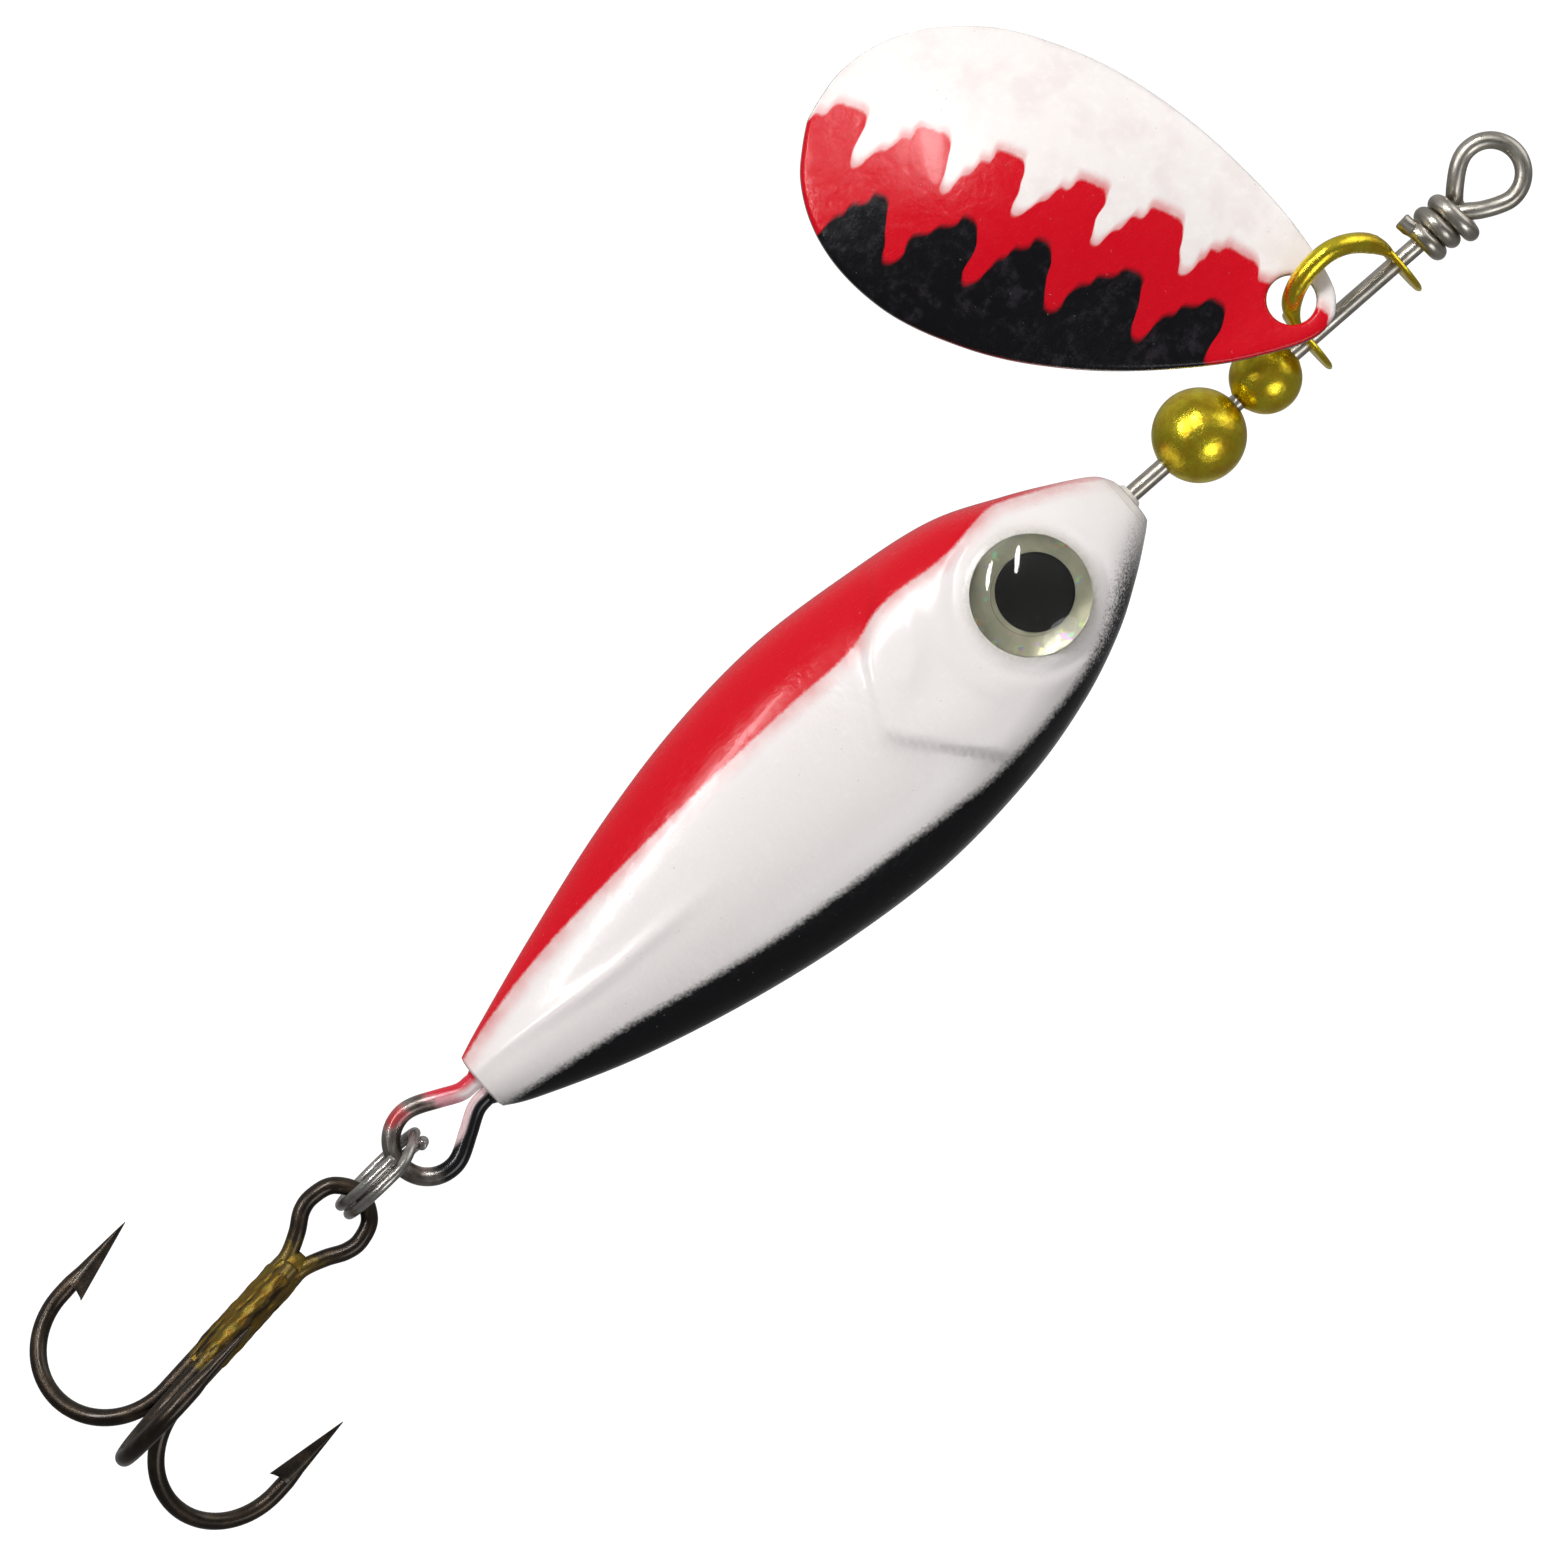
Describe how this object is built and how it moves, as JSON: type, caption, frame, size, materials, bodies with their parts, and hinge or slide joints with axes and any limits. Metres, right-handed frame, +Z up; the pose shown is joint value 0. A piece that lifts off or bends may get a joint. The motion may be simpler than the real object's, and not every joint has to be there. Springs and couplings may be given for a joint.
{
  "type": "inline spinner",
  "caption": "Inline spinner lure: a wire shaft carries a cupped blade on a stirrup clevis, brass beads and a painted minnow body, with a split ring and a barbed treble hook at the tail.",
  "frame": {"origin": "on the shaft's axis, at the centre height of the line eye's opening", "axes": "+Z up the shaft towards the line, -X towards the minnow's back and the blade, +X towards its belly, -Y towards its right flank"},
  "size_m": [0.0354, 0.0149, 0.0968],
  "materials": {
    "stainless_wire": "drawn stainless wire, lightly dulled",
    "painted_blade": "gloss white with airbrushed red and black bands",
    "clevis_brass": "pressed brass, tumbled",
    "bead_brass": "turned brass, dull polish",
    "body_paint": "gloss white with an airbrushed red back and black belly",
    "eye_adhesive": "adhesive foam disc",
    "eye_foil": "holographic foil",
    "pupil_ink": "black ink",
    "eye_resin": "clear domed resin",
    "ring_steel": "bright spring steel",
    "bronzed_hook": "dark bronzed lacquer",
    "braze_metal": "rough braze film"
  },
  "bodies": {
    "root": {"shaft_wire": "stainless_wire", "body_casting": "body_paint", "tail_loop": "stainless_wire", "right_eye_pad": "eye_adhesive", "right_eye_foil": "eye_foil", "right_eye_pupil": "pupil_ink", "right_eye_dome": "eye_resin", "left_eye_pad": "eye_adhesive", "left_eye_foil": "eye_foil", "left_eye_pupil": "pupil_ink", "left_eye_dome": "eye_resin"},
    "small_bead": {"small_bead": "bead_brass"},
    "large_bead": {"large_bead": "bead_brass"},
    "clevis": {"clevis": "clevis_brass"},
    "blade": {"blade": "painted_blade"},
    "split_ring": {"split_ring": "ring_steel"},
    "treble_hook": {"treble_double_hook": "bronzed_hook", "treble_single_hook": "bronzed_hook", "treble_braze": "braze_metal"}
  },
  "joints": [
    {"name": "stack_slide", "type": "slide", "parent": "root", "child": "small_bead", "axis": [0, 0, 1], "range_m": [-0.002, 0.0007]},
    {"name": "large_bead_spin", "type": "hinge", "parent": "small_bead", "child": "large_bead", "pos_m": [0, 0, -0.01945], "axis": [0, 0, 1], "continuous": true},
    {"name": "clevis_spin", "type": "hinge", "parent": "small_bead", "child": "clevis", "pos_m": [0, 0, -0.01228], "axis": [0, 0, 1], "continuous": true},
    {"name": "blade_swing", "type": "hinge", "parent": "clevis", "child": "blade", "pos_m": [-0.00205, -0.0029, -0.01172], "axis": [-0.0829, -0.9848, 0.1526], "range_deg": [-30, 42]},
    {"name": "ring_swing", "type": "hinge", "parent": "root", "child": "split_ring", "pos_m": [0.0012, 0, -0.07353], "axis": [1, 0, 0], "range_deg": [-100, 100]},
    {"name": "hook_swing", "type": "hinge", "parent": "split_ring", "child": "treble_hook", "pos_m": [0.00105, 0, -0.0771], "axis": [0, 1, 0], "range_deg": [-75, 75]}
  ]
}
